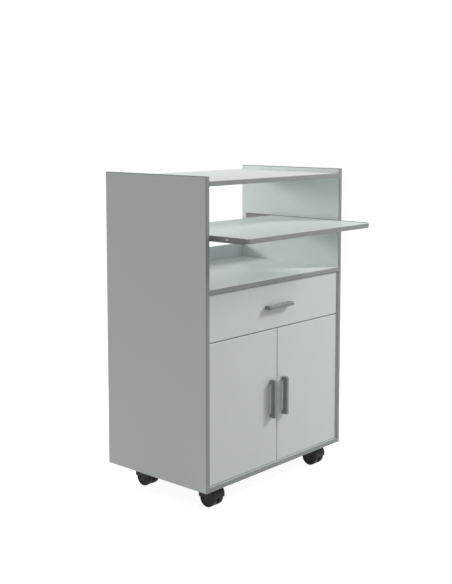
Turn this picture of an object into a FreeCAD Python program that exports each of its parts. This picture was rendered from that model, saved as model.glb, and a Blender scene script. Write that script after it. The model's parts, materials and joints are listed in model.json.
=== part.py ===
"""A kitchen microwave cart on casters: open niche with a pull-out shelf, drawer and two doors.

Millimetres, +Z up, +Y to the rear. The origin is on the floor, under the middle of the cart as
it stands with its pull-out shelf partly drawn out. Every size is a cell of the sheet SIZES, and
every place is a formula of those sizes.
"""
import FreeCAD, Part
import os
import re

import Sketcher

Vector, Rotation, Placement = FreeCAD.Vector, FreeCAD.Rotation, FreeCAD.Placement

SIZES = {
    # cabinet boards
    "body_width": 600, "body_depth": 384, "body_height": 840,
    "board": 13,                   # laminated chipboard
    "edging": 2,                   # grey plastic edge strip
    "edging_round": 1.5,           # rounded corner of the strip
    "side_rise": 13,               # how far the sides stand above the top board
    "shelf_level": 530,            # underside of the fixed shelf above the underside of the body
    "rail_height": 44,             # low rail at the rear of the niche
    "hardboard": 3,                # back panel and drawer bottom
    "groove_depth": 6, "groove_play": 0.1, "back_setback": 8,
    # cam fittings that pull the boards to the sides
    "cam_width": 15, "cam_depth": 10, "cam_inset": 34, "cam_edge": 30,
    "cam_slot_width": 2, "cam_slot_depth": 3,
    "cam_bolt_width": 6, "cam_bolt_reach": 10, "cam_play": 0.2,
    # fronts
    "front_recess": 5, "side_gap": 2, "front_gap": 3, "end_gap": 2,
    "drawer_front_height": 126, "front_round": 1.2,
    # pull-out shelf
    "tray_out": 120,               # how far it is drawn out as it stands
    "tray_top": 685, "tray_depth": 370, "tray_corner": 10, "tray_bevel": 1,
    # roller runners, one member on the side and one on what slides
    "runner_space": 13, "runner_length": 350, "runner_height": 15, "runner_wall": 1,
    "runner_flange": 6, "runner_setback": 18, "tray_slide_setback": 11,
    "roller_width": 3.3, "roller_play": 0.3, "roller_inset": 12, "roller_axle": 4,
    "bore_play": 0.05,
    "runner_hole_one": 60, "runner_hole_two": 280,
    # screws for runners, hinges and casters
    "screw_width": 3.5, "screw_head": 6.5, "screw_head_depth": 1.1, "screw_length": 12,
    "slide_screw_length": 10,
    # drawer box
    "drawer_board": 12, "drawer_side_height": 90, "drawer_box_lift": 10,
    "drawer_bottom_lift": 8, "drawer_runner_lift": 22,
    # bar handles
    "handle_length": 108, "handle_pitch": 96, "handle_width": 10.5, "handle_bar": 13,
    "handle_gap": 5, "handle_leg": 10, "handle_round": 2, "door_handle_level": 202,
    "handle_offset": 27, "handle_screw": 4, "handle_screw_head": 8, "handle_screw_depth": 2.2,
    "handle_screw_reach": 7,
    # single-pin cup hinges
    "cup_width": 35, "cup_depth": 10.5, "cup_wall": 0.8, "cup_edge": 22.5, "cup_play": 0.1,
    "cup_flange": 40, "cup_flange_thick": 1, "hinge_pin_edge": 15, "hinge_pin_depth": 7.5,
    "hinge_pin_width": 3, "hinge_pin_length": 28, "hinge_ear_near": 9, "hinge_eye": 5.6,
    "hinge_arm_width": 14, "hinge_strip": 2,
    "hinge_reach": 17, "hinge_rise": 19, "hinge_foot": 50, "hinge_inset": 60,
    "hinge_bend": 3, "hinge_hole_one": 12, "hinge_hole_two": 24,
    # twin-wheel casters
    "caster_height": 62, "caster_side_inset": 71, "caster_end_inset": 67.5,
    "plate_side": 42, "plate_thick": 2.5, "plate_boss": 24, "plate_boss_height": 4,
    "plate_hole_inset": 6, "swivel_play": 0.3, "pintle_width": 9,
    "wheel_width": 50, "wheel_thick": 17, "wheel_play": 1.5,
    "hub_recess": 3, "hub_width": 32, "trail": 20,
    "hood_length": 58, "hood_width": 48, "hood_skirt": 1.7, "hood_rim": 27,
    "hood_front_round": 20, "hood_rear_round": 3, "hood_side_bevel": 3,
    "hood_web": 6, "hood_boss": 16, "caster_axle": 6,
}

# places worked out from the sizes
DERIVED = {
    "front": "(tray_out - body_depth) / 2",
    "rear": "(tray_out + body_depth) / 2",
    "half": "body_width / 2",
    "inside": "body_width / 2 - board",
    "under": "caster_height",
    "top_level": "body_height - side_rise",
    "edge_back": "front + edging",
    "back_face": "rear - back_setback - hardboard",
    "rail_face": "rear - hardboard",
    "fronts": "front + front_recess",
    "fronts_back": "front + front_recess + board",
    "drawer_front_top": "shelf_level - end_gap",
    "drawer_front_low": "drawer_front_top - drawer_front_height",
    "door_top": "drawer_front_low - front_gap",
    "door_low": "board + end_gap",
    "door_height": "door_top - door_low",
    "door_outer": "inside - side_gap",
    "door_width": "door_outer - front_gap / 2",
    "tray_half": "inside - runner_space",
    "tray_front": "front - tray_out",
    "tray_under": "tray_top - board",
    "tray_runner_level": "tray_top - board / 2",
    "box_low": "drawer_front_low + drawer_box_lift",
    "box_top": "box_low + drawer_side_height",
    "box_depth": "runner_length",
    "box_back": "fronts_back + box_depth",
    "bottom_level": "box_low + drawer_bottom_lift",
    "drawer_runner_level": "box_low + drawer_runner_lift",
    "channel_space": "runner_height - 2 * runner_wall",
    "roller_radius": "channel_space / 2 - roller_play",
    "roller_near": "runner_flange - roller_play / 2 - roller_width",
    "handle_reach": "handle_gap + handle_bar",
    "pin_across": "door_outer - hinge_pin_edge",
    "pin_back": "fronts + hinge_pin_depth",
    "hinge_low": "door_low + hinge_inset",
    "hinge_high": "door_top - hinge_inset",
    "wheel_radius": "wheel_width / 2",
    "hood_top": "under - plate_thick - plate_boss_height - swivel_play",
    "wheel_gap": "hood_web / 2 + 0.5 * wheel_play",
    "caster_across": "half - caster_side_inset",
}

doc = FreeCAD.newDocument("microwave_cart")
sheet = doc.addObject("Spreadsheet::Sheet", "Sizes")
pieces = []


# ---------------------------------------------------------------- formulas and small helpers
def fill_sheet():
    """Write each size into the sheet, with its name as the cell's alias."""
    for row, (name, size) in enumerate(SIZES.items(), start=1):
        sheet.set(f"A{row}", name)
        sheet.set(f"B{row}", str(size))
        sheet.setAlias(f"B{row}", name)
    doc.recompute()


def formula(text):
    """Turn the names in a formula into references to the sheet's cells."""
    def swap(found):
        word = found.group(0)
        if word in DERIVED:
            return "(" + formula(DERIVED[word]) + ")"
        return "Sizes." + word if word in SIZES else word
    return re.sub(r"[a-z_]+", swap, str(text))


def number(text):
    """The present value of a formula."""
    return float(sheet.evalExpression(formula(text)))


def bind(thing, **settings):
    """Bind properties of an object to formulas."""
    for setting, text in settings.items():
        thing.setExpression(setting, formula(text))


def place(thing, at, turn=None):
    """Place an object at three formulas, turned by a rotation."""
    thing.Placement = Placement(Vector(), turn or Rotation())
    for axis, text in zip("xyz", at):
        thing.setExpression(f"Placement.Base.{axis}", formula(text))
    return thing


def keep(thing, label):
    """Name a finished piece of the cart."""
    thing.Label = label
    pieces.append(thing)
    return thing


ALONG = {
    "x": Rotation(Vector(0, 1, 0), 90),
    "y": Rotation(Vector(1, 0, 0), -90),
    "z": Rotation(),
    "-x": Rotation(Vector(0, 1, 0), -90),
    "-y": Rotation(Vector(1, 0, 0), 90),
}
HALF_TURN = Rotation(Vector(0, 1, 0), 180)
PEG_FACES = 8


def box(size, at):
    """A block of three lengths whose low corner is at a place."""
    block = doc.addObject("Part::Box", "Block")
    bind(block, Length=size[0], Width=size[1], Height=size[2])
    return place(block, at)


def rod(radius, length, at, along="z"):
    """A round bar that starts at a place and runs along an axis."""
    bar = doc.addObject("Part::Cylinder", "Rod")
    bind(bar, Radius=radius, Height=length)
    return place(bar, at, ALONG[along])


def peg(radius, length, at, along="z"):
    """A slim many-sided bar, for screws, bolts and their holes."""
    bar = doc.addObject("Part::Prism", "Peg")
    bar.Polygon = PEG_FACES
    bind(bar, Circumradius=radius, Height=length)
    return place(bar, at, ALONG[along])


def group(shapes):
    """Separate solids kept together."""
    together = doc.addObject("Part::Compound", "Group")
    together.Links = shapes
    return together


def joined(shapes):
    """Solids united into one."""
    union = doc.addObject("Part::MultiFuse", "Joined")
    union.Shapes = shapes
    return union


def cut(base, tools):
    """A solid with tools taken out of it."""
    result = doc.addObject("Part::Cut", "Cut")
    result.Base = base
    result.Tool = tools[0] if len(tools) == 1 else group(tools)
    return result


def across(side, start, thick):
    """Low x of a block that runs outwards from a distance, on the left (-1) or right (1)."""
    return start if side > 0 else f"-({start}) - ({thick})"


SIDES = (("left", -1), ("right", 1))


# ---------------------------------------------------------------- sketched bodies
def new_body(name):
    return doc.addObject("PartDesign::Body", name)


def new_sketch(body, role, lift="0"):
    """A sketch on one of the body's own origin planes, moved along its normal by a formula."""
    sketch = body.newObject("Sketcher::SketchObject", "Sketch")
    origin = [feature for feature in body.Origin.OriginFeatures if feature.Role == role]
    sketch.AttachmentSupport = [(origin[0], "")]
    sketch.MapMode = "FlatFace"
    if lift != "0":
        bind(sketch, **{"AttachmentOffset.Base.z": lift})
    return sketch


def fix_point(sketch, geometry, corner, point):
    """Hold a sketch point at two formulas measured from the sketch's origin."""
    for kind, axis, text in (("DistanceX", -2, point[0]), ("DistanceY", -1, point[1])):
        if str(text) == "0":
            sketch.addConstraint(Sketcher.Constraint("PointOnObject", geometry, corner, axis))
            continue
        index = sketch.addConstraint(
            Sketcher.Constraint(kind, -1, 1, geometry, corner, number(text)))
        sketch.setExpression(f"Constraints[{index}]", formula(text))


def draw_outline(sketch, points):
    """A closed outline of straight lines through points given as formulas."""
    spots = [Vector(number(across_text), number(up_text), 0) for across_text, up_text in points]
    first = sketch.GeometryCount
    count = len(spots)
    for step in range(count):
        sketch.addGeometry(Part.LineSegment(spots[step], spots[(step + 1) % count]), False)
    for step in range(count):
        after = first + (step + 1) % count
        sketch.addConstraint(Sketcher.Constraint("Coincident", first + step, 2, after, 1))
    for step, point in enumerate(points):
        fix_point(sketch, first + step, 1, point)


def draw_rectangle(sketch, low, high):
    draw_outline(sketch, [low, (high[0], low[1]), high, (low[0], high[1])])


def draw_circle(sketch, centre, radius):
    """A circle whose centre and radius are formulas."""
    spot = Vector(number(centre[0]), number(centre[1]), 0)
    index = sketch.addGeometry(Part.Circle(spot, Vector(0, 0, 1), number(radius)), False)
    fix_point(sketch, index, 3, centre)
    size = sketch.addConstraint(Sketcher.Constraint("Radius", index, number(radius)))
    sketch.setExpression(f"Constraints[{size}]", formula(radius))


def extrude(body, kind, sketch, length, midplane=False, reverse=False):
    """Pad or pocket a sketch by a formula."""
    feature = body.newObject("PartDesign::" + kind, kind)
    feature.Profile = sketch
    feature.Midplane = midplane
    feature.Reversed = reverse
    bind(feature, Length=length)
    sketch.Visibility = False
    return feature


def soften(body, kind, size, choose):
    """Fillet or chamfer the edges of the body's tip that a test picks."""
    doc.recompute()
    tip = body.Tip
    names = [f"Edge{index}" for index, edge in enumerate(tip.Shape.Edges, start=1)
             if choose(edge)]
    if not names:
        raise RuntimeError(f"{body.Label}: no edge to soften")
    feature = body.newObject("PartDesign::" + kind, kind)
    feature.Base = (tip, names)
    bind(feature, **{"Radius" if kind == "Fillet" else "Size": size})
    return feature


def runs(edge, axis):
    """Whether an edge is a straight line along an axis."""
    if len(edge.Vertexes) != 2 or edge.Curve.TypeId != "Part::GeomLine":
        return False
    way = (edge.Vertexes[1].Point - edge.Vertexes[0].Point).normalize()
    return abs(getattr(way, axis)) > 0.999


def near(first, second):
    return abs(first - second) < 1e-4


# ---------------------------------------------------------------- cabinet boards
CAM_BOARDS = (("top", "top_level - board"), ("shelf", "shelf_level"), ("base", "0"))


def cam_spots(low):
    """Where a board's four cams are: side, y and the height of the bolts."""
    rows = ("front + cam_edge", "rear - cam_edge")
    middle = f"under + {low} + board / 2"
    return [(side, row, middle) for side in (-1, 1) for row in rows]


def cam_disc_at(side, row, low, play):
    """The round hole for a cam, from the board's underside."""
    spot = (f"{side} * (inside - cam_inset)", row, f"under + {low}")
    return peg(f"cam_width / 2 + {play}", f"cam_depth + {play}", spot)


def cam_bolt_at(side, row, middle, play):
    """A bolt from inside the side panel to the edge of its cam."""
    length = f"cam_inset - cam_width / 2 + cam_bolt_reach + {play}"
    spot = (f"{side} * (inside + cam_bolt_reach)", row, middle)
    return peg(f"cam_bolt_width / 2 + {play}", length, spot, "-x" if side > 0 else "x")


def groove():
    """The space that the back panel takes in the boards around it, with its play."""
    reach = "inside + groove_depth + groove_play"
    low = "under + board - groove_depth - groove_play"
    high = "under + shelf_level + groove_depth + groove_play"
    return box((f"2 * ({reach})", "hardboard + 2 * groove_play", f"{high} - ({low})"),
               (f"-({reach})", "back_face - groove_play", low))


def side_panel(name, side):
    """A side board, with its groove, bolt holes, hinge holes and runner holes."""
    size = ("board", "body_depth - edging", "body_height - edging")
    panel = box(size, (across(side, "inside", "board"), "edge_back", "under"))
    tools = [groove()]
    for _, low in CAM_BOARDS:
        tools += [cam_bolt_at(turned, row, middle, "0")
                  for turned, row, middle in cam_spots(low) if turned == side]
    tools += [panel_screw_hole(side, spot) for spot in panel_screw_spots()]
    keep(cut(panel, tools), f"side_panel_{name}")


def level_board(label, low, extra_cuts):
    """A board between the sides, with the holes for its cams and their bolts."""
    size = ("2 * (inside)", "body_depth - edging", "board")
    board = box(size, ("-(inside)", "edge_back", f"under + {low}"))
    tools = []
    for side, row, middle in cam_spots(low):
        tools.append(cam_disc_at(side, row, low, "cam_play"))
        tools.append(cam_bolt_at(side, row, middle, "cam_play"))
    keep(cut(board, [joined(tools)] + extra_cuts), label)


def cam_fittings():
    """Slotted cams in the boards and the bolts that they draw in."""
    solids = []
    for _, low in CAM_BOARDS:
        for side, row, middle in cam_spots(low):
            disc = cam_disc_at(side, row, low, "0")
            slot = box(("cam_width", "cam_slot_width", "cam_slot_depth"),
                       (f"{side} * (inside - cam_inset) - cam_width / 2",
                        f"{row} - cam_slot_width / 2", f"under + {low}"))
            solids += [cut(disc, [slot]), cam_bolt_at(side, row, middle, "0")]
    keep(group(solids), "cam_fittings")


def niche_rail():
    """The thin strip behind the fixed shelf, which stands above it as a rail."""
    size = ("2 * (inside)", "hardboard", "board + rail_height")
    return box(size, ("-(inside)", "rail_face", "under + shelf_level"))


def back_and_rail():
    """The thin back of the cupboard, and the low rail at the rear of the niche."""
    reach = "inside + groove_depth"
    size = (f"2 * ({reach})", "hardboard", "shelf_level - board + 2 * groove_depth")
    keep(box(size, (f"-({reach})", "back_face", "under + board - groove_depth")), "back_panel")
    keep(niche_rail(), "niche_back_rail")


# ---------------------------------------------------------------- grey edge strips
UP = Rotation()
LEVEL = Rotation(Vector(0, 1, 0), 90)
BACKWARD = Rotation(Vector(1, 0, 0), -90)


def strip(length, at, turn):
    """An edge strip: its outer face is local y = 0 and it runs up local z."""
    body = new_body("Strip")
    sketch = new_sketch(body, "XY_Plane")
    draw_rectangle(sketch, ("0", "0"), ("board", "edging"))
    extrude(body, "Pad", sketch, length)
    soften(body, "Fillet", "edging_round",
           lambda edge: runs(edge, "z") and near(edge.BoundBox.YMax, 0))
    return place(body, at, turn)


def side_edging(name, side):
    """The strips on the front and top edges of a side board."""
    low = across(side, "inside", "board")
    upright = strip("body_height", (low, "front", "under"), UP)
    over = strip("body_depth - edging", (low, "edge_back", "under + body_height"), BACKWARD)
    keep(group([upright, over]), f"side_edging_{name}")


def level_edging(label, top):
    """The strip on the front edge of a board between the sides."""
    keep(strip("2 * (inside)", ("-(inside)", "front", f"under + {top}"), LEVEL), label)


# ---------------------------------------------------------------- roller runners
def channel(length, axle_at, holes):
    """A C-shaped rail that opens towards local +x, with the axle of its one roller.

    Its mounting face is local x = 0, it runs from y = 0 to its length, and z is its middle.
    """
    body = new_body("Channel")
    sketch = new_sketch(body, "XZ_Plane")
    half, inner = "runner_height / 2", "runner_height / 2 - runner_wall"
    draw_outline(sketch, [("0", f"-({half})"), ("runner_flange", f"-({half})"),
                          ("runner_flange", f"-({inner})"), ("runner_wall", f"-({inner})"),
                          ("runner_wall", inner), ("runner_flange", inner),
                          ("runner_flange", half), ("0", half)])
    extrude(body, "Pad", sketch, length, reverse=True)
    sketch = new_sketch(body, "YZ_Plane")
    draw_circle(sketch, (axle_at, "0"), "roller_axle / 2")
    extrude(body, "Pad", sketch, "runner_space - roller_near")
    sketch = new_sketch(body, "YZ_Plane")
    for hole in holes:
        draw_circle(sketch, (hole, "0"), "screw_width / 2")
    extrude(body, "Pocket", sketch, "runner_wall", reverse=True)
    return body


RUNNER_HOLES = ("runner_hole_one", "runner_hole_two")


def fixed_channel(label, side, level):
    """The rail on the cabinet's side, with its roller axle near the front."""
    rail = channel("runner_length", "roller_inset", RUNNER_HOLES)
    spot = (f"{side} * (inside)", "front + runner_setback", f"under + {level}")
    keep(place(rail, spot, HALF_TURN if side > 0 else None), label)


def sliding_channel(label, side, start, level):
    """The rail on what slides, with its roller axle near the rear."""
    rail = channel("runner_length", "runner_length - roller_inset", RUNNER_HOLES)
    spot = (f"{side} * (tray_half)", start, f"under + {level}")
    keep(place(rail, spot, None if side > 0 else HALF_TURN), label)


def roller_pair(label, centre_y, level, from_side):
    """A left and a right roller on one axis, seen as the wheels of one pair of runners."""
    solids = []
    for _, side in SIDES:
        if from_side:
            low = across(side, "tray_half + roller_near", "roller_width")
        else:
            low = across(side, "inside - roller_near - roller_width", "roller_width")
        spot = (low, centre_y, f"under + {level}")
        wheel = rod("roller_radius", "roller_width", spot, "x")
        bore = rod("roller_axle / 2 + bore_play", "roller_width", spot, "x")
        solids.append(cut(wheel, [bore]))
    keep(group(solids), label)


# ---------------------------------------------------------------- screws
def screw(at, along, length="screw_length", width="screw_width", head="screw_head",
          head_depth="screw_head_depth"):
    """A screw whose head's face touches the piece at a place, and which runs along an axis."""
    axis = along[-1]
    sign = "-" if along.startswith("-") else ""
    back = {"x": 0, "y": 1, "z": 2}[axis]
    shank = peg(f"({width}) / 2", length, at, along)
    spot = list(at)
    spot[back] = f"{at[back]} - ({sign}1) * ({head_depth})"
    cap = peg(f"({head}) / 2", head_depth, spot, along)
    return joined([shank, cap])


def panel_screw_spots():
    """Screws into a side board: y, z and how far out of the board the head sits."""
    spots = []
    for level in ("tray_runner_level", "drawer_runner_level"):
        spots += [(f"front + runner_setback + {hole}", f"under + {level}", "runner_wall")
                  for hole in RUNNER_HOLES]
    for level in ("hinge_low", "hinge_high"):
        spots += [(f"pin_back + hinge_rise + {hole}", f"under + {level}", "hinge_strip")
                  for hole in ("hinge_hole_one", "hinge_hole_two")]
    return spots


def panel_screw_hole(side, spot):
    """The pilot hole of one screw in a side board."""
    depth = f"screw_length - {spot[2]}"
    return peg("screw_width / 2", depth, (f"{side} * (inside)", spot[0], spot[1]),
               "x" if side > 0 else "-x")


def panel_screws():
    """Every screw that holds a runner or a hinge arm to the side boards."""
    solids = []
    for _, side in SIDES:
        for row, level, lift in panel_screw_spots():
            at = (f"{side} * (inside - {lift})", row, level)
            solids.append(screw(at, "x" if side > 0 else "-x"))
    keep(group(solids), "panel_screws")


def slide_screws(start, level):
    """The screws of the sliding rails, from inside each rail into what slides."""
    solids = []
    for _, side in SIDES:
        for hole in RUNNER_HOLES:
            at = (f"{side} * (tray_half + runner_wall)", f"{start} + {hole}", f"under + {level}")
            solids.append(screw(at, "-x" if side > 0 else "x", "slide_screw_length"))
    return solids


def slide_screw_holes(side, start, level):
    """The pilot holes of the sliding rails' screws on one side."""
    depth = "slide_screw_length - runner_wall"
    return [peg("screw_width / 2", depth,
                (f"{side} * (tray_half)", f"{start} + {hole}", f"under + {level}"),
                "-x" if side > 0 else "x") for hole in RUNNER_HOLES]


# ---------------------------------------------------------------- pull-out shelf
TRAY_SLIDE_START = "tray_front + tray_slide_setback"


def tray_plate(inset):
    """The outline of the pull-out shelf in plan, its sides and front drawn in by the inset."""
    body = new_body("TrayPlate")
    sketch = new_sketch(body, "XY_Plane")
    half = f"tray_half - {inset}"
    draw_rectangle(sketch, (f"-({half})", inset), (half, "tray_depth"))
    extrude(body, "Pad", sketch, "board")
    soften(body, "Fillet", f"tray_corner - {inset}",
           lambda edge: runs(edge, "z") and near(edge.BoundBox.YMin, number(inset)))
    return place(body, ("0", "tray_front", "under + tray_under"))


def tray_band():
    """The shelf's outline with its upper and lower edges bevelled, all but the rear ones."""
    body = tray_plate("0")
    soften(body, "Chamfer", "tray_bevel",
           lambda edge: near(edge.BoundBox.ZMin, edge.BoundBox.ZMax)
           and not near(edge.BoundBox.YMin, number("tray_depth")))
    return body


def tray():
    """The pull-out shelf with the strip round its edge, rails, screws and rear rollers."""
    holes = []
    for name, side in SIDES:
        holes += slide_screw_holes(side, TRAY_SLIDE_START, "tray_runner_level")
        sliding_channel(f"tray_slide_{name}", side, TRAY_SLIDE_START, "tray_runner_level")
        fixed_channel(f"tray_runner_{name}", side, "tray_runner_level")
    keep(cut(tray_plate("edging"), holes), "tray_board")
    keep(cut(tray_band(), [tray_plate("edging")] + holes), "tray_edging")
    keep(group(slide_screws(TRAY_SLIDE_START, "tray_runner_level")), "tray_screws")
    roller_pair("tray_front_rollers", "front + runner_setback + roller_inset",
                "tray_runner_level", True)
    roller_pair("tray_rear_rollers", f"{TRAY_SLIDE_START} + runner_length - roller_inset",
                "tray_runner_level", False)


# ---------------------------------------------------------------- drawer
def drawer_groove():
    """The space that the drawer's bottom takes in the boards around it, with its play."""
    reach = "tray_half - drawer_board + groove_depth + groove_play"
    near_y = "fronts_back - groove_depth - groove_play"
    far_y = "box_back - drawer_board + groove_depth + groove_play"
    return box((f"2 * ({reach})", f"{far_y} - ({near_y})", "hardboard + 2 * groove_play"),
               (f"-({reach})", near_y, "under + bottom_level - groove_play"))


def drawer_front():
    """The drawer's front board, grooved for the bottom and bored for the handle."""
    board = rounded_front("2 * (door_outer)", "drawer_front_height")
    place(board, ("-(door_outer)", "fronts", "under + drawer_front_low"))
    holes = [peg("handle_screw / 2", "board", (spot, "fronts", level), "y")
             for spot, level in drawer_handle_spots()]
    keep(cut(board, [drawer_groove()] + holes), "drawer_front")


def drawer_box():
    """The drawer's sides, back and bottom."""
    for name, side in SIDES:
        low = across(side, "tray_half - drawer_board", "drawer_board")
        board = box(("drawer_board", "box_depth", "drawer_side_height"),
                    (low, "fronts_back", "under + box_low"))
        holes = slide_screw_holes(side, "fronts_back", "drawer_runner_level")
        keep(cut(board, [drawer_groove()] + holes), f"drawer_side_{name}")
        sliding_channel(f"drawer_slide_{name}", side, "fronts_back", "drawer_runner_level")
        fixed_channel(f"drawer_runner_{name}", side, "drawer_runner_level")
    size = ("2 * (tray_half - drawer_board)", "drawer_board", "drawer_side_height")
    back = box(size, ("-(tray_half - drawer_board)", "box_back - drawer_board",
                      "under + box_low"))
    keep(cut(back, [drawer_groove()]), "drawer_back")
    reach = "tray_half - drawer_board + groove_depth"
    size = (f"2 * ({reach})", "box_depth - drawer_board + 2 * groove_depth", "hardboard")
    keep(box(size, (f"-({reach})", "fronts_back - groove_depth", "under + bottom_level")),
         "drawer_bottom")
    roller_pair("drawer_front_rollers", "front + runner_setback + roller_inset",
                "drawer_runner_level", True)
    roller_pair("drawer_rear_rollers", "fronts_back + runner_length - roller_inset",
                "drawer_runner_level", False)


def drawer_handle_spots():
    """The two screw centres of the drawer's handle, as x and z."""
    level = "under + drawer_front_low + drawer_front_height / 2"
    return [(f"{side} * handle_pitch / 2", level) for side in (-1, 1)]


def door_handle_spots(side):
    """The two screw centres of a door's handle, as x and z."""
    return [(f"{side} * handle_offset", f"under + door_handle_level + {end} * handle_pitch / 2")
            for end in (-1, 1)]


def handle_screws(spots):
    """The screws that hold a handle, from behind its front board."""
    return [screw((spot, "fronts_back", level), "-y", "board + handle_screw_reach",
                  "handle_screw", "handle_screw_head", "handle_screw_depth")
            for spot, level in spots]


def handle(label, spots, turn):
    """A square bar on two legs, with rounded edges; local x runs along it, y = 0 is its seat."""
    body = new_body("Handle")
    sketch = new_sketch(body, "XY_Plane")
    end, leg = "handle_length / 2", "handle_length / 2 - handle_leg"
    draw_outline(sketch, [(f"-({end})", "0"), (f"-({end})", "-(handle_reach)"),
                          (end, "-(handle_reach)"), (end, "0"), (leg, "0"),
                          (leg, "-(handle_gap)"), (f"-({leg})", "-(handle_gap)"),
                          (f"-({leg})", "0")])
    extrude(body, "Pad", sketch, "handle_width", midplane=True)
    reach = number("handle_reach")
    soften(body, "Fillet", "handle_round",
           lambda edge: near(edge.BoundBox.YMin, -reach) and near(edge.BoundBox.YMax, -reach))
    sketch = new_sketch(body, "XZ_Plane")
    for side in (-1, 1):
        draw_circle(sketch, (f"{side} * handle_pitch / 2", "0"), "handle_screw / 2")
    extrude(body, "Pocket", sketch, "handle_screw_reach", reverse=True)
    middle_x = f"({spots[0][0]} + {spots[1][0]}) / 2"
    middle_z = f"({spots[0][1]} + {spots[1][1]}) / 2"
    keep(place(body, (middle_x, "fronts", middle_z), turn), label)


# ---------------------------------------------------------------- doors
def rounded_front(width, height):
    """A front board with its low left corner at the origin and softened front edges."""
    body = new_body("Front")
    sketch = new_sketch(body, "XZ_Plane")
    draw_rectangle(sketch, ("0", "0"), (width, height))
    extrude(body, "Pad", sketch, "board", reverse=True)
    soften(body, "Fillet", "front_round",
           lambda edge: near(edge.BoundBox.YMin, 0) and near(edge.BoundBox.YMax, 0))
    return body


def hinge_levels():
    return [f"under + {level}" for level in ("hinge_low", "hinge_high")]


def cup_centre(side):
    return f"{side} * (door_outer - cup_edge)"


def door(name, side):
    """A door with its handle, its hinge cups and their pins."""
    board = rounded_front("door_width", "door_height")
    low = "front_gap / 2" if side > 0 else "-(door_outer)"
    place(board, (low, "fronts", "under + door_low"))
    tools = [rod("cup_width / 2 + cup_play", "cup_depth + cup_play",
                 (cup_centre(side), "fronts_back", level), "-y") for level in hinge_levels()]
    tools += [peg("handle_screw / 2", "board", (spot, "fronts", level), "y")
              for spot, level in door_handle_spots(side)]
    keep(cut(board, tools), f"door_{name}")
    upright = Rotation(Vector(0, 1, 0), -90)
    handle(f"door_handle_{name}", door_handle_spots(side), upright)
    keep(group(handle_screws(door_handle_spots(side))), f"door_handle_screws_{name}")
    solids = []
    for level in hinge_levels():
        solids += [hinge_cup(side, level), hinge_pin(side, level)]
    keep(group(solids), f"hinge_cups_{name}")


def hinge_pin(side, level):
    """The pin across a cup that its arm turns on."""
    spot = (f"{side} * (pin_across)", "pin_back", f"{level} - hinge_pin_length / 2")
    return rod("hinge_pin_width / 2", "hinge_pin_length", spot)


def hinge_cup(side, level):
    """A pressed cup with its flange on the door's rear face and a bar for the pin's ends."""
    centre = (cup_centre(side), "fronts_back", level)
    outer = rod("cup_width / 2", "cup_depth", centre, "-y")
    flange = rod("cup_flange / 2", "cup_flange_thick", centre, "y")
    mouth = (centre[0], "fronts_back + cup_flange_thick", level)
    hollow = rod("cup_width / 2 - cup_wall", "cup_depth - cup_wall + cup_flange_thick", mouth,
                 "-y")
    ears = []
    for end in (-1, 1):
        low = "hinge_ear_near" if end > 0 else "-(cup_width / 2 - cup_wall / 2)"
        ears.append(box(("2 * hinge_pin_width", "cup_depth - cup_wall / 2",
                         "cup_width / 2 - cup_wall / 2 - hinge_ear_near"),
                        (f"{side} * (pin_across) - hinge_pin_width",
                         "fronts_back - cup_depth + cup_wall / 2", f"{level} + {low}")))
    shell = cut(joined([outer, flange]), [hollow])
    trimmed = doc.addObject("Part::MultiCommon", "Common")
    trimmed.Shapes = [joined(ears), rod("cup_width / 2 - cup_wall / 2", "cup_depth", centre,
                                        "-y")]
    return cut(joined([shell, trimmed]), [hinge_pin(side, level)])


def hinge_arm(side, level):
    """A bent strip from the eye on the pin, round the door's edge to the side board.

    Local x = 0, y = 0 is the pin; local +x points away from the side board.
    """
    body = new_body("HingeArm")
    sketch = new_sketch(body, "XY_Plane")
    half, foot = "hinge_strip / 2", "-(side_gap + hinge_pin_edge)"
    draw_outline(sketch, [
        ("0", f"-({half})"), (f"hinge_reach + {half}", f"-({half})"),
        (f"hinge_reach + {half}", f"hinge_rise + {half}"),
        (f"{foot} + hinge_strip", f"hinge_rise + {half}"),
        (f"{foot} + hinge_strip", "hinge_foot"), (foot, "hinge_foot"),
        (foot, f"hinge_rise - {half}"), (f"hinge_reach - {half}", f"hinge_rise - {half}"),
        (f"hinge_reach - {half}", half), ("0", half)])
    extrude(body, "Pad", sketch, "hinge_arm_width", midplane=True)
    outer = (number(f"hinge_reach + {half}"), number(foot))
    soften(body, "Fillet", "hinge_bend",
           lambda edge: runs(edge, "z") and edge.BoundBox.YMax < number("hinge_foot") - 1
           and any(near(edge.BoundBox.XMin, spot) for spot in outer))
    sketch = new_sketch(body, "XY_Plane")
    draw_circle(sketch, ("0", "0"), "hinge_eye / 2")
    extrude(body, "Pad", sketch, "hinge_arm_width", midplane=True)
    sketch = new_sketch(body, "XY_Plane")
    draw_circle(sketch, ("0", "0"), "hinge_pin_width / 2 + bore_play")
    extrude(body, "Pocket", sketch, "hinge_arm_width", midplane=True)
    sketch = new_sketch(body, "YZ_Plane", foot)
    for hole in ("hinge_hole_one", "hinge_hole_two"):
        draw_circle(sketch, (f"hinge_rise + {hole}", "0"), "screw_width / 2")
    extrude(body, "Pocket", sketch, "hinge_strip", reverse=True)
    turn = HALF_TURN if side > 0 else None
    return place(body, (f"{side} * (pin_across)", "pin_back", level), turn)


def hinge_arms(name, side):
    keep(group([hinge_arm(side, level) for level in hinge_levels()]), f"hinge_arms_{name}")


# ---------------------------------------------------------------- casters
CASTERS = (("front_left", -1, "front + caster_end_inset"),
           ("front_right", 1, "front + caster_end_inset"),
           ("rear_left", -1, "rear - caster_end_inset"),
           ("rear_right", 1, "rear - caster_end_inset"))


def plate_screw_spots(side, row):
    """The four screw places of one caster plate, as x and y."""
    reach = "(plate_side / 2 - plate_hole_inset)"
    return [(f"{side} * (caster_across) + {one} * {reach}", f"{row} + {two} * {reach}")
            for one in (-1, 1) for two in (-1, 1)]


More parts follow.
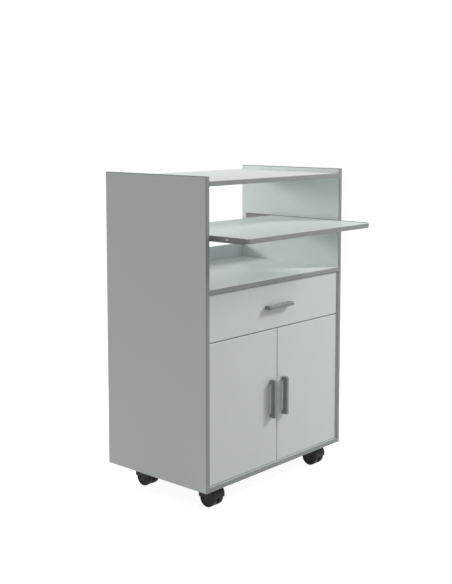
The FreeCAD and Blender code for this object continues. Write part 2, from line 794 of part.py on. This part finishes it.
def caster_plates():
    """The four fixed plates with the socket of the swivel, and their screws."""
    plates, screws = [], []
    for _, side, row in CASTERS:
        centre = f"{side} * (caster_across)"
        flat = box(("plate_side", "plate_side", "plate_thick"),
                   (f"{centre} - plate_side / 2", f"{row} - plate_side / 2",
                    "under - plate_thick"))
        boss_low = "under - plate_thick - plate_boss_height"
        boss = rod("plate_boss / 2", "plate_boss_height", (centre, row, boss_low))
        tools = [rod("pintle_width / 2 + bore_play", "plate_thick + plate_boss_height",
                     (centre, row, boss_low))]
        for spot_x, spot_y in plate_screw_spots(side, row):
            at = (spot_x, spot_y, "under - plate_thick")
            tools.append(peg("screw_width / 2", "plate_thick", at))
            screws.append(screw(at, "z"))
        plates.append(cut(joined([flat, boss]), tools))
    keep(group(plates), "caster_plates")
    keep(group(screws), "caster_screws")


def caster_screw_holes():
    """The pilot holes for the caster screws in the base board."""
    depth = "screw_length - plate_thick"
    return [peg("screw_width / 2", depth, (spot_x, spot_y, "under"))
            for _, side, row in CASTERS for spot_x, spot_y in plate_screw_spots(side, row)]


def hood(label, side, row):
    """A caster's hood with its centre web, axle and pintle; local z = 0 is the floor."""
    body = new_body("Hood")
    sketch = new_sketch(body, "YZ_Plane")
    front_end = "-(trail + hood_length / 2)"
    rear_end = "hood_length / 2 - trail"
    draw_rectangle(sketch, (front_end, "hood_rim"), (rear_end, "hood_top"))
    extrude(body, "Pad", sketch, "hood_width", midplane=True)
    top, low_y, high_y = number("hood_top"), number(front_end), number(rear_end)
    soften(body, "Fillet", "hood_front_round",
           lambda edge: runs(edge, "x") and near(edge.BoundBox.ZMin, top)
           and near(edge.BoundBox.YMin, low_y))
    soften(body, "Fillet", "hood_rear_round",
           lambda edge: runs(edge, "x") and near(edge.BoundBox.ZMin, top)
           and near(edge.BoundBox.YMin, high_y))
    side_x = number("hood_width / 2")
    rim = number("hood_rim")
    soften(body, "Chamfer", "hood_side_bevel",
           lambda edge: near(edge.BoundBox.XMin, edge.BoundBox.XMax)
           and near(abs(edge.BoundBox.XMin), side_x) and edge.BoundBox.ZMax > rim + 1)
    sketch = new_sketch(body, "YZ_Plane")
    draw_circle(sketch, ("-trail", "wheel_radius"), "wheel_radius + wheel_play")
    extrude(body, "Pocket", sketch, "hood_width - 2 * hood_skirt", midplane=True)
    sketch = new_sketch(body, "YZ_Plane")
    draw_rectangle(sketch, ("-(trail + hood_boss / 2)", "wheel_radius"),
                   ("hood_boss / 2 - trail", "wheel_width + 2 * wheel_play"))
    extrude(body, "Pad", sketch, "hood_web", midplane=True)
    sketch = new_sketch(body, "YZ_Plane")
    draw_circle(sketch, ("-trail", "wheel_radius"), "hood_boss / 2")
    extrude(body, "Pad", sketch, "hood_web", midplane=True)
    sketch = new_sketch(body, "YZ_Plane")
    draw_circle(sketch, ("-trail", "wheel_radius"), "caster_axle / 2")
    extrude(body, "Pocket", sketch, "hood_web", midplane=True)
    sketch = new_sketch(body, "XY_Plane", "hood_top")
    draw_circle(sketch, ("0", "0"), "pintle_width / 2")
    extrude(body, "Pad", sketch, "plate_thick + plate_boss_height")
    centre = f"{side} * (caster_across)"
    reach = "wheel_gap + wheel_thick - hub_recess"
    axle = rod("caster_axle / 2", f"2 * ({reach})",
               (f"{centre} - ({reach})", f"{row} - trail", "wheel_radius"), "x")
    keep(group([place(body, (centre, row, "0")), axle]), label)


def wheel(label, side, row, end):
    """One wheel of a caster: a tread with a dished hub on its outer face."""
    body = new_body("Wheel")
    sketch = new_sketch(body, "XY_Plane")
    bore = "caster_axle / 2 + bore_play"
    draw_outline(sketch, [
        ("0", bore), ("0", "wheel_radius"), ("wheel_thick", "wheel_radius"),
        ("wheel_thick", "hub_width / 2"), ("wheel_thick - hub_recess", bore)])
    turning = body.newObject("PartDesign::Revolution", "Revolution")
    turning.Profile = sketch
    turning.ReferenceAxis = (sketch, ["H_Axis"])
    turning.Angle = 360
    spot = (f"{side} * (caster_across) + {end} * wheel_gap", f"{row} - trail", "wheel_radius")
    keep(place(body, spot, Rotation(Vector(0, 0, 1), 180) if end < 0 else None), label)


def casters():
    caster_plates()
    for name, side, row in CASTERS:
        hood(f"caster_hood_{name}", side, row)
        wheel(f"caster_wheel_{name}_a", side, row, -1)
        wheel(f"caster_wheel_{name}_b", side, row, 1)


# ---------------------------------------------------------------- the whole cart
def cabinet():
    for name, side in SIDES:
        side_panel(name, side)
        side_edging(name, side)
        hinge_arms(name, side)
    level_board("top_board", "top_level - board", [])
    level_board("fixed_shelf", "shelf_level", [groove(), niche_rail()])
    level_board("base_board", "0", [groove()] + caster_screw_holes())
    level_edging("top_edging", "top_level")
    level_edging("shelf_edging", "shelf_level + board")
    level_edging("base_edging", "board")
    back_and_rail()
    cam_fittings()
    panel_screws()


def drawer():
    drawer_front()
    drawer_box()
    handle("drawer_handle", drawer_handle_spots(), None)
    keep(group(handle_screws(drawer_handle_spots())
               + slide_screws("fronts_back", "drawer_runner_level")), "drawer_screws")


def check_and_write():
    """Stop on any failed object or bad shape, then write one file for each piece."""
    doc.recompute()
    for thing in doc.Objects:
        if "Invalid" in thing.State or "Error" in thing.State:
            raise RuntimeError(f"{thing.Label} failed: {thing.State}")
    for piece in pieces:
        if piece.Shape.isNull() or not piece.Shape.isValid() or not piece.Shape.Solids:
            raise RuntimeError(f"{piece.Label} has no valid solid")
    os.makedirs("parts", exist_ok=True)
    for piece in pieces:
        piece.Shape.exportStep(f"parts/{piece.Label}.step")


fill_sheet()
cabinet()
tray()
drawer()
for door_name, door_side in SIDES:
    door(door_name, door_side)
casters()
check_and_write()
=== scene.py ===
"""A white kitchen cart with grey edging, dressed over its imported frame.

Everything is in metres, with +Z up and the doors facing -Y.
"""
import json
import math

import bmesh
import bpy
from mathutils import Matrix, Vector


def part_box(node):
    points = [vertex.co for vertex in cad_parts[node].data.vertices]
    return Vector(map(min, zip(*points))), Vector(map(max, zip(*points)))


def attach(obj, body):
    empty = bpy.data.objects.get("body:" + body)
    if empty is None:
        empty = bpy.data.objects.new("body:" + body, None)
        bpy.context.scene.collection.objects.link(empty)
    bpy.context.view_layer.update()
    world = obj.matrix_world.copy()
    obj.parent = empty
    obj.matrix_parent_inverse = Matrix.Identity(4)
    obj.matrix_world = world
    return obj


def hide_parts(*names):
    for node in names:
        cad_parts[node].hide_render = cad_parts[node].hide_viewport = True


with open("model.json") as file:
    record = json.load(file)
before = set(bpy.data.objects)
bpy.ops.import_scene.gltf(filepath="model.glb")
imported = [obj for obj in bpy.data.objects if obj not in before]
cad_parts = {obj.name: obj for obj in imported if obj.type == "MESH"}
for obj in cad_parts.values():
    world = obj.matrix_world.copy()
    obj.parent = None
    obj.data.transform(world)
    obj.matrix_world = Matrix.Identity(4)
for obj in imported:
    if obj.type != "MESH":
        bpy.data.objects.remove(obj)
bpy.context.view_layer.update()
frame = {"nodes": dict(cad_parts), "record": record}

MM = 0.001

# Camera: the focal length and the row of the optical axis are in pixels of the photograph.
PHOTO_HEIGHT = 584
FOCAL_LENGTH = 1018.5
AXIS_ROW = 221
SENSOR = 36
CAMERA_PLACE = (-2.2118, -1.904, 1.0458)
CAMERA_DOWN, CAMERA_TURN = 5.652, 48.293

# Light: the sky's strength for rays that only light, the floor's own glow as it is seen,
# and each lamp's place, the point it faces, its diameter and its power in watts.
SKY_LIGHT = 0.34
FLOOR_GLOW = 0.88
LAMPS = {
    "key": ((2.4, -1.7, 2.35), (0, 0, 0.45), 1.0, 61),
    "side": ((-3.4, 0.3, 1.1), (-0.3, 0, 0.5), 1.8, 2.5),
    "back": ((-0.22, 1.45, 1.15), (0, 0, 0.68), 0.4, 15),
}

# A wheel's half section in mm, as (distance outwards from its inner face, radius): the
# axle's blind bore, the rim, the crowned tread with its parting line, the dish, the cap.
WHEEL_SECTION = (
    (14.2, 0), (14.2, 3.05), (0, 3.05), (0, 9), (0.8, 9.6), (0.8, 20.5), (0, 21.2), (0, 23.2),
    (0.5, 24.2), (1.6, 24.85), (5, 25), (8.1, 25), (8.3, 24.8), (8.7, 24.8),
    (8.9, 25), (12, 25), (15.4, 24.85), (16.5, 24.2), (17, 23.2), (17, 20.6),
    (16.5, 20.1), (15.6, 19.8), (14.7, 12.5), (14.9, 10.2), (16.2, 9.4), (16.6, 8.6),
    (16.8, 4), (16.85, 0))
WHEEL_STEPS = 72

# A screw's outside below its recess: (share of the head's depth, share of the head's radius).
HEAD_RINGS = ((0.12, 0.86), (0.3, 1), (0.85, 1), (1, 0.96))
SCREW_STEPS = 24
SCREW_TWIST = 1.9    # radians from one screw to the next, so that no two recesses line up


# ---------------------------------------------------------------- finishes

class Signal:
    """A number that varies over a surface, as one socket of a finish's node tree."""

    def __init__(self, finish, socket):
        self.finish, self.socket = finish, socket

    def maths(self, operation, first, second):
        return self.finish.node("Math", {"operation": operation}, {0: first, 1: second})

    def __add__(self, other):
        return self.maths("ADD", self, other)

    def __radd__(self, other):
        return self.maths("ADD", other, self)

    def __sub__(self, other):
        return self.maths("SUBTRACT", self, other)

    def __rsub__(self, other):
        return self.maths("SUBTRACT", other, self)

    def __mul__(self, other):
        return self.maths("MULTIPLY", self, other)

    def __rmul__(self, other):
        return self.maths("MULTIPLY", other, self)


class Finish:
    """One material: a Principled shader and whatever feeds it."""

    def __init__(self, name, **constants):
        self.material = bpy.data.materials.new(name)
        self.material.use_nodes = True
        self.tree = self.material.node_tree
        self.shader = self.tree.nodes["Principled BSDF"]
        for socket, value in constants.items():
            self.shader.inputs[socket.replace("_", " ")].default_value = value
        self.place = self.node("TexCoord", out="Object")

    def node(self, kind, settings=None, sockets=None, out=0):
        """Adds a node, makes its settings, then fills its sockets with values or signals."""
        node = self.tree.nodes.new("ShaderNode" + kind)
        for name, value in (settings or {}).items():
            setattr(node, name, value)
        for name, value in (sockets or {}).items():
            self.join(node.inputs[name], value)
        return Signal(self, node.outputs[out])

    def join(self, socket, value):
        if isinstance(value, Signal):
            self.tree.links.new(value.socket, socket)
        else:
            socket.default_value = value

    def feed(self, **signals):
        for socket, value in signals.items():
            self.join(self.shader.inputs[socket.replace("_", " ")], value)
        return self

    def noise(self, scale, detail=2.0, stretch=(1, 1, 1)):
        """Smooth noise from 0 to 1; scale counts its features per metre."""
        at = self.node("Mapping", {}, {"Vector": self.place, "Scale": stretch}, "Vector")
        return self.node("TexNoise", {}, {"Vector": at, "Scale": scale, "Detail": detail}, "Fac")

    def blend(self, share, dark, light):
        """The dark colour where share is 0, the light one where it is 1."""
        return self.node("Mix", {"data_type": "RGBA"},
                         {0: share, 6: (*dark, 1), 7: (*light, 1)}, 2)

    def window(self, signal, low, high):
        """Stretches the part of a signal between low and high to 0..1."""
        return self.node("MapRange", {}, {0: signal, 1: low, 2: high})

    def relief(self, height, depth):
        """Bumps of the given depth in metres."""
        return self.node("Bump", {}, {"Strength": 1.0, "Distance": depth, "Height": height},
                         "Normal")


def laminate(name, light, dark, peel=0.5):
    """Melamine skin: an almost even white with a fine pearl texture and a satin sheen."""
    skin = Finish(name, IOR=1.48)
    cloud = skin.window(skin.noise(5, 3), 0.3, 0.7)
    pearl = skin.noise(900, 2)
    pores = skin.window(skin.noise(2600, 1), 0.55, 0.75)
    return skin.feed(
        Base_Color=skin.blend(cloud * 0.7 + pearl * 0.3, dark, light),
        Roughness=0.34 + 0.08 * cloud + 0.1 * pearl,
        Normal=skin.relief(pearl * 0.7 - pores * 0.3, 0.00012 * peel)).material


def edge_strip():
    """Extruded grey strip: faint drawn lines along it and a little bloom."""
    skin = Finish("grey_edge_strip", IOR=1.5)
    speckle = skin.noise(700, 3)
    bloom = skin.window(skin.noise(14, 3), 0.25, 0.75)
    return skin.feed(
        Base_Color=skin.blend(bloom * 0.6 + speckle * 0.4,
                              (0.298, 0.325, 0.318), (0.352, 0.38, 0.372)),
        Roughness=0.4 + 0.12 * speckle,
        Normal=skin.relief(speckle, 0.00006)).material


def powder_coat():
    """Powder-coated steel with its orange peel and faint rubbed streaks."""
    skin = Finish("grey_powder_coat", IOR=1.5)
    peel = skin.noise(420, 2)
    rub = skin.window(skin.noise(60, 4, (8, 0.2, 8)), 0.55, 0.8)
    return skin.feed(
        Base_Color=skin.blend(rub * 0.5 + peel * 0.2,
                              (0.34, 0.35, 0.345), (0.44, 0.45, 0.445)),
        Roughness=0.3 + 0.15 * peel,
        Normal=skin.relief(peel, 0.00015)).material


def nylon():
    """Natural nylon, a little translucent."""
    skin = Finish("white_nylon", IOR=1.53, Subsurface_Weight=0.1, Subsurface_Scale=0.002)
    haze = skin.noise(300, 3)
    return skin.feed(Base_Color=skin.blend(haze, (0.74, 0.73, 0.69), (0.82, 0.81, 0.78)),
                     Roughness=0.35 + 0.15 * haze,
                     Normal=skin.relief(haze, 0.00005)).material


def satin_grip():
    """Satin grey handles with a fine, even grain and a slight polish in patches."""
    skin = Finish("satin_grey_grip", IOR=1.5, Coat_Roughness=0.35)
    grain = skin.noise(1400, 2)
    touch = skin.window(skin.noise(35, 2), 0.4, 0.7)
    return skin.feed(
        Base_Color=skin.blend(grain * 0.5 + touch * 0.5,
                              (0.235, 0.265, 0.258), (0.29, 0.32, 0.312)),
        Roughness=0.42 - 0.08 * touch + 0.08 * grain,
        Coat_Weight=0.12 + 0.1 * touch,
        Normal=skin.relief(grain, 0.00006)).material


def plated_steel(name, dark, light, rough):
    """Bright plating over pressed or turned steel."""
    skin = Finish(name, Metallic=1.0)
    lines = skin.noise(900, 3)
    cloud = skin.window(skin.noise(120, 3), 0.3, 0.7)
    return skin.feed(Base_Color=skin.blend(cloud * 0.6 + lines * 0.4, dark, light),
                     Roughness=rough + 0.12 * cloud + 0.08 * lines,
                     Normal=skin.relief(lines, 0.00004)).material


def cast_zinc():
    """Dull die-cast zinc with small pits."""
    skin = Finish("cast_zinc", Metallic=0.9)
    pits = skin.noise(1200, 4)
    cloud = skin.noise(90, 3)
    return skin.feed(Base_Color=skin.blend(cloud, (0.36, 0.36, 0.355), (0.5, 0.5, 0.49)),
                     Roughness=0.45 + 0.2 * pits,
                     Normal=skin.relief(pits, 0.0001)).material


def moulded_black(name, dark, light, rough, grain):
    """Black moulded plastic: spark-eroded grain, dusty in places."""
    skin = Finish(name, IOR=1.49, Specular_IOR_Level=0.22)
    erode = skin.noise(grain, 3)
    dust = skin.window(skin.noise(55, 4), 0.45, 0.85)
    return skin.feed(Base_Color=skin.blend(dust * 0.7 + erode * 0.3, dark, light),
                     Roughness=rough + 0.15 * dust + 0.1 * erode,
                     Normal=skin.relief(erode, 0.00016)).material


FINISHES = {
    "white_board": laminate("white_laminate", (0.822, 0.876, 0.86), (0.80, 0.854, 0.838)),
    "white_hardboard": laminate("lacquered_board", (0.80, 0.84, 0.835), (0.76, 0.80, 0.795), 1.4),
    "grey_edging": edge_strip(),
    "runner_steel": powder_coat(),
    "roller_nylon": nylon(),
    "handle_grey": satin_grip(),
    "hinge_steel": plated_steel("nickel_plate", (0.58, 0.57, 0.55), (0.7, 0.69, 0.67), 0.2),
    "screw_steel": plated_steel("zinc_plate", (0.5, 0.5, 0.5), (0.64, 0.64, 0.63), 0.28),
    "fitting_zinc": cast_zinc(),
    "caster_plastic": moulded_black("hood_plastic", (0.010, 0.010, 0.011),
                                    (0.022, 0.022, 0.024), 0.34, 900),
    "caster_wheel": moulded_black("wheel_plastic", (0.012, 0.012, 0.013),
                                  (0.028, 0.028, 0.03), 0.42, 500),
    "caster_steel": plated_steel("pressed_zinc_plate", (0.46, 0.46, 0.46), (0.6, 0.6, 0.59), 0.32),
}

node_slot = {entry["node"]: entry["material_slot"] for entry in frame["record"]["subparts"]}
for node_name, node_object in frame["nodes"].items():
    for used in node_object.material_slots:
        used.material = FINISHES[node_slot[node_name]]


# ------------------------------------------------------------------ pieces

def piece_from(shape, name, slot, body, stands_for):
    """Closes a bmesh, makes it a smooth-shaded piece and hands it to its body."""
    bmesh.ops.remove_doubles(shape, verts=shape.verts, dist=1e-6)
    bmesh.ops.recalc_face_normals(shape, faces=shape.faces)
    mesh = bpy.data.meshes.new(name)
    shape.to_mesh(mesh)
    shape.free()
    mesh.materials.append(FINISHES[slot])
    mesh.shade_smooth()
    mesh.set_sharp_from_angle(angle=math.radians(35))
    piece = bpy.data.objects.new(name, mesh)
    bpy.context.scene.collection.objects.link(piece)
    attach(piece, body)
    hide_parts(*stands_for)


def spun(shape, profile, centre, axis, out):
    """Spins a profile of (distance along the axis, radius) in mm about an axis through centre."""
    verts = [shape.verts.new(centre + axis * (along * MM) + out * (radius * MM))
             for along, radius in profile]
    edges = [shape.edges.new(pair) for pair in zip(verts, verts[1:])]
    bmesh.ops.spin(shape, geom=verts + edges, cent=centre, axis=axis, dvec=(0, 0, 0),
                   angle=math.tau, steps=WHEEL_STEPS, use_merge=True, use_duplicate=False)


def caster_wheel(corner, end, outwards):
    """A caster's wheel: crowned tread with a parting line, dished face and hub cap."""
    node = f"caster_wheel_{corner}_{end}"
    low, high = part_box(node)
    centre = (low + high) / 2
    centre.x = low.x if outwards > 0 else high.x
    shape = bmesh.new()
    spun(shape, WHEEL_SECTION, centre, Vector((outwards, 0, 0)), Vector((0, 0, 1)))
    piece_from(shape, f"wheel_shape_{corner}_{end}", "caster_wheel", f"wheel_{corner}_{end}", [node])


def solids_of(node):
    """The separate solids of a CAD node, each as the list of its points."""
    shape = bmesh.new()
    shape.from_mesh(frame["nodes"][node].data)
    bmesh.ops.remove_doubles(shape, verts=shape.verts, dist=1e-6)
    left, solids = set(shape.verts), []
    while left:
        reached = [left.pop()]
        solid = []
        while reached:
            vert = reached.pop()
            solid.append(vert.co.copy())
            for near in {v for edge in vert.link_edges for v in edge.verts} & left:
                left.remove(near)
                reached.append(near)
        solids.append(solid)
    shape.free()
    return solids


def ring(shape, depth, radius):
    """A loop of edges round the Z axis, depth mm below the top of a screw's head."""
    at = Matrix.Translation((0, 0, -depth * MM))
    made = bmesh.ops.create_circle(shape, radius=radius * MM, segments=SCREW_STEPS, matrix=at)
    return list({edge for vert in made["verts"] for edge in vert.link_edges})


def cross_loop(shape, depth, reach, width):
    """The outline of a cross recess, as a loop of edges."""
    corner = [(reach, width), (width, width), (width, reach)]
    outline = []
    for turn in range(4):
        spin = Matrix.Rotation(turn * math.pi / 2, 3, "Z")
        outline += [shape.verts.new(spin @ Vector((x * MM, y * MM, -depth * MM))) for x, y in corner]
    return [shape.edges.new(pair) for pair in zip(outline, outline[1:] + outline[:1])]


def screw_mesh(head, head_depth, shank, length):
    """A cross-recessed screw that points down from the origin, with a domed head."""
    shape = bmesh.new()
    floor = cross_loop(shape, 0.55 * head_depth, 0.26 * head, 0.1 * head)
    bmesh.ops.edgenet_fill(shape, edges=floor)
    loops = [floor, cross_loop(shape, 0.02, 0.5 * head, 0.13 * head), ring(shape, 0.02, 0.6 * head)]
    loops += [ring(shape, deep * head_depth, wide * head) for deep, wide in HEAD_RINGS]
    loops += [ring(shape, head_depth, shank), ring(shape, length - 1.5 * shank, shank),
              ring(shape, length, 0.3 * shank)]
    for upper, lower in zip(loops, loops[1:]):
        bmesh.ops.bridge_loops(shape, edges=upper + lower)
    bmesh.ops.edgenet_fill(shape, edges=loops[-1])
    bmesh.ops.recalc_face_normals(shape, faces=shape.faces)
    mesh = bpy.data.meshes.new("screw_pattern")
    shape.to_mesh(mesh)
    shape.free()
    return mesh


def dress_screws(node, body):
    """Puts a cross-recessed screw in the place of each plain one, each turned its own way."""
    shape = bmesh.new()
    patterns = {}
    for count, points in enumerate(solids_of(node)):
        low = Vector([min(p[k] for p in points) for k in range(3)])
        high = Vector([max(p[k] for p in points) for k in range(3)])
        middle, size = (low + high) / 2, high - low
        along = max(range(3), key=lambda k: size[k])
        off = [((p - middle) * Vector([k != along for k in range(3)])).length for p in points]
        head = max(off)
        rim = [p[along] - middle[along] for p, r in zip(points, off) if r > 0.97 * head]
        outward = Vector([(1 if sum(rim) > 0 else -1) * (k == along) for k in range(3)])
        tip = [r for p, r in zip(points, off) if (p - middle).dot(outward) < -0.4 * size[along]]
        key = tuple(round(v / MM, 2) for v in (head, max(rim) - min(rim), max(tip), size[along]))
        if key not in patterns:
            patterns[key] = screw_mesh(*key)
        turned = patterns[key].copy()
        turned.transform(Matrix.Translation(middle + outward * size[along] / 2)
                         @ outward.to_track_quat("Z", "Y").to_matrix().to_4x4()
                         @ Matrix.Rotation(SCREW_TWIST * count, 4, "Z"))
        shape.from_mesh(turned)
        bpy.data.meshes.remove(turned)
    piece_from(shape, f"{node}_dressed", "screw_steel", body, [node])


for corner in ("front_left", "front_right", "rear_left", "rear_right"):
    caster_wheel(corner, "a", -1)
    caster_wheel(corner, "b", 1)
for screws, carrier in (("panel_screws", "cabinet"), ("caster_screws", "cabinet"),
                        ("tray_screws", "tray"), ("drawer_screws", "drawer"),
                        ("door_handle_screws_left", "left_door"),
                        ("door_handle_screws_right", "right_door")):
    dress_screws(screws, carrier)


# ------------------------------------------------------------------- stage

def seen_directly(tree):
    """1 for rays from the camera, from gloss and through glass, 0 for those that only light."""
    path = tree.nodes.new("ShaderNodeLightPath")
    total = path.outputs["Is Camera Ray"]
    for name in ("Is Glossy Ray", "Is Transmission Ray"):
        most = tree.nodes.new("ShaderNodeMath")
        most.operation = "MAXIMUM"
        tree.links.new(total, most.inputs[0])
        tree.links.new(path.outputs[name], most.inputs[1])
        total = most.outputs[0]
    return total


def make_floor():
    """A pale disc that keeps the cart's shadow and looks white where it is seen."""
    mesh = bpy.data.meshes.new("studio_floor")
    shape = bmesh.new()
    bmesh.ops.create_circle(shape, cap_ends=True, radius=14, segments=64)
    shape.to_mesh(mesh)
    shape.free()
    floor = bpy.data.objects.new("studio_floor", mesh)
    bpy.context.scene.collection.objects.link(floor)
    paper = bpy.data.materials.new("pale_paper")
    paper.use_nodes = True
    tree = paper.node_tree
    tree.nodes.clear()
    out = tree.nodes.new("ShaderNodeOutputMaterial")
    mixed = tree.nodes.new("ShaderNodeAddShader")
    matt = tree.nodes.new("ShaderNodeBsdfDiffuse")
    matt.inputs["Color"].default_value = (0.5, 0.5, 0.5, 1)
    glow = tree.nodes.new("ShaderNodeEmission")
    weight = tree.nodes.new("ShaderNodeMath")
    weight.operation = "MULTIPLY"
    weight.inputs[1].default_value = FLOOR_GLOW
    tree.links.new(seen_directly(tree), weight.inputs[0])
    tree.links.new(weight.outputs[0], glow.inputs["Strength"])
    tree.links.new(matt.outputs[0], mixed.inputs[0])
    tree.links.new(glow.outputs[0], mixed.inputs[1])
    tree.links.new(mixed.outputs[0], out.inputs["Surface"])
    mesh.materials.append(paper)


def make_world():
    """An even sky: white where it is seen, and dimmer as light."""
    world = bpy.data.worlds.new("studio")
    bpy.context.scene.world = world
    world.use_nodes = True
    tree = world.node_tree
    back = tree.nodes["Background"]
    back.inputs["Color"].default_value = (1, 1, 1, 1)
    level = tree.nodes.new("ShaderNodeMapRange")
    level.inputs["To Min"].default_value = SKY_LIGHT
    level.inputs["To Max"].default_value = 1.0
    tree.links.new(seen_directly(tree), level.inputs["Value"])
    tree.links.new(level.outputs[0], back.inputs["Strength"])


def soft_box(name, at, towards, size, power):
    """A round area lamp."""
    data = bpy.data.lights.new(name, "AREA")
    data.shape = "DISK"
    data.size, data.energy = size, power
    lamp = bpy.data.objects.new(name, data)
    bpy.context.scene.collection.objects.link(lamp)
    lamp.location = at
    lamp.rotation_euler = (Vector(towards) - Vector(at)).to_track_quat("-Z", "Y").to_euler()


def make_camera():
    """The photograph's viewing point, found from the corners of the cart's body."""
    data = bpy.data.cameras.new("camera")
    data.sensor_fit = "VERTICAL"
    data.sensor_height = SENSOR
    data.lens = FOCAL_LENGTH / PHOTO_HEIGHT * SENSOR
    data.shift_y = (AXIS_ROW - PHOTO_HEIGHT / 2) / PHOTO_HEIGHT
    data.clip_start, data.clip_end = 0.05, 100
    camera = bpy.data.objects.new("camera", data)
    bpy.context.scene.collection.objects.link(camera)
    camera.location = CAMERA_PLACE
    camera.rotation_euler = (math.radians(90 - CAMERA_DOWN), 0, math.radians(-CAMERA_TURN))
    bpy.context.scene.camera = camera


make_world()
make_floor()
make_camera()
for lamp_name, setting in LAMPS.items():
    soft_box(lamp_name, *setting)
bpy.context.scene.view_settings.view_transform = "Standard"
